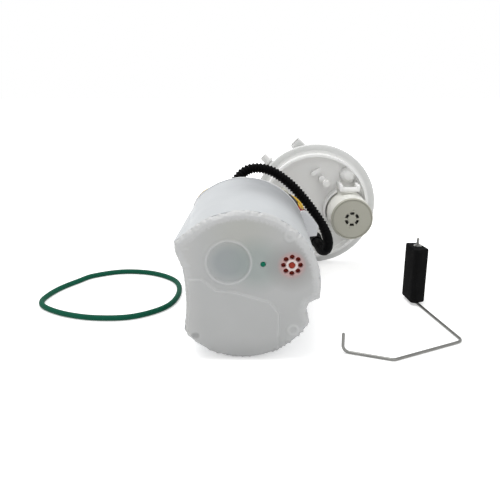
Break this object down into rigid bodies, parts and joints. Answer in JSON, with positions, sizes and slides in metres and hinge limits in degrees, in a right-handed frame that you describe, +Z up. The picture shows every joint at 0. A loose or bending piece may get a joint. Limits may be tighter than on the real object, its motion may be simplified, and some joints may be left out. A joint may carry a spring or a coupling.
{
  "type": "fuel pump module",
  "caption": "In-tank fuel pump module: reservoir with pump, sprung flange with ports and vent valve, hose, loose seal ring and float arm.",
  "frame": {"origin": "on the floor under the middle of the whole set's bounding box", "axes": "+Y along the module from the reservoir's bottom plate to the flange, +X across it, +Z up"},
  "size_m": [0.3594, 0.2541, 0.1331],
  "materials": {
    "milky_plastic": "milky, slightly translucent moulding",
    "white_plastic": "matt white moulding",
    "beige_plastic": "matt beige moulding",
    "black_plastic": "matt black moulding",
    "green_plastic": "matt green moulding",
    "black_rubber": "matt black rubber",
    "green_rubber": "satin green rubber",
    "red_rubber": "matt dark red rubber",
    "black_foam": "dense closed-cell foam",
    "steel": "bright drawn steel",
    "brass": "tinned brass",
    "ferrite": "sintered ferrite",
    "carbon": "pressed carbon",
    "ceramic": "ceramic card with a printed track",
    "strainer_cloth": "fine woven strainer cloth",
    "yellow_insulation": "satin wire insulation",
    "red_insulation": "satin wire insulation",
    "black_insulation": "satin wire insulation"
  },
  "bodies": {
    "reservoir": {"reservoir_shell": "milky_plastic", "bottom_plate": "milky_plastic", "reservoir_lid": "milky_plastic", "umbrella_valve": "red_rubber", "jet_nozzle": "green_plastic", "jet_tube": "white_plastic", "pump_case": "steel", "pump_inlet_cap": "black_plastic", "pump_outlet_cap": "black_plastic", "pump_magnets": "ferrite", "pump_brushes": "carbon", "pump_isolator": "black_rubber", "inlet_strainer": "strainer_cloth", "regulator_housing": "beige_plastic", "regulator_spring": "steel", "outlet_elbow": "white_plastic", "hose_cuff_lid": "black_rubber", "fuel_hose": "black_rubber", "sender_housing": "white_plastic", "sender_card": "ceramic", "lid_grommet": "black_rubber", "sender_wire_yellow": "yellow_insulation", "sender_wire_black": "black_insulation", "pump_wire_red": "red_insulation", "pump_wire_black": "black_insulation"},
    "flange": {"flange": "white_plastic", "connector_terminals": "brass", "outlet_spigot": "white_plastic", "vapour_spigot": "white_plastic", "guide_rod_upper": "steel", "guide_rod_lower": "steel", "guide_spring_upper": "steel", "guide_spring_lower": "steel", "rod_clips": "steel", "vent_body": "beige_plastic", "vent_cap": "beige_plastic", "vent_seal": "black_rubber", "vent_spring": "steel", "hose_cuff_flange": "black_rubber", "harness_plug": "black_plastic"},
    "pump_rotor": {"pump_armature": "steel", "pump_impeller": "black_plastic"},
    "regulator_valve": {"regulator_valve": "steel"},
    "vent_float": {"vent_float": "white_plastic"},
    "sender_rotor": {"sender_rotor": "black_plastic", "sender_wiper": "brass"},
    "seal_ring": {"seal_ring": "green_rubber"},
    "float_arm": {"arm_wire": "steel", "push_nut": "steel"},
    "arm_float": {"arm_float": "black_foam"}
  },
  "joints": [
    {"name": "flange_slide", "type": "slide", "parent": "reservoir", "child": "flange", "axis": [0, 1, 0], "range_m": [-0.03, 0], "stiffness_N_per_m": 300, "springref_m": 0.03, "deforming": ["guide_spring_upper", "guide_spring_lower", "fuel_hose", "sender_wire_yellow", "sender_wire_black", "pump_wire_red", "pump_wire_black"]},
    {"name": "pump_spin", "type": "hinge", "parent": "reservoir", "child": "pump_rotor", "pos_m": [-0.009, -0.07, 0.072], "axis": [0, 1, 0], "continuous": true},
    {"name": "regulator_lift", "type": "slide", "parent": "reservoir", "child": "regulator_valve", "axis": [0, 1, 0], "range_m": [0, 0.001], "stiffness_N_per_m": 500, "springref_m": -0.003, "deforming": ["regulator_spring"]},
    {"name": "vent_float_slide", "type": "slide", "parent": "flange", "child": "vent_float", "axis": [0, 1, 0], "range_m": [-0.006, 0], "stiffness_N_per_m": 20, "springref_m": 0.004, "deforming": ["vent_spring"]},
    {"name": "sender_swing", "type": "hinge", "parent": "reservoir", "child": "sender_rotor", "pos_m": [-0.0423, -0.028, 0.044], "axis": [1, 0, 0], "range_deg": [-40, 40]},
    {"name": "seal_ring_lift", "type": "slide", "parent": "reservoir", "child": "seal_ring", "axis": [0, 0, 1], "range_m": [0, 0.05]},
    {"name": "float_arm_lift", "type": "slide", "parent": "reservoir", "child": "float_arm", "axis": [0, 0, 1], "range_m": [0, 0.05]},
    {"name": "float_turn", "type": "hinge", "parent": "float_arm", "child": "arm_float", "pos_m": [0.162, -0.0098, 0.03], "axis": [0, 0, 1], "continuous": true}
  ]
}
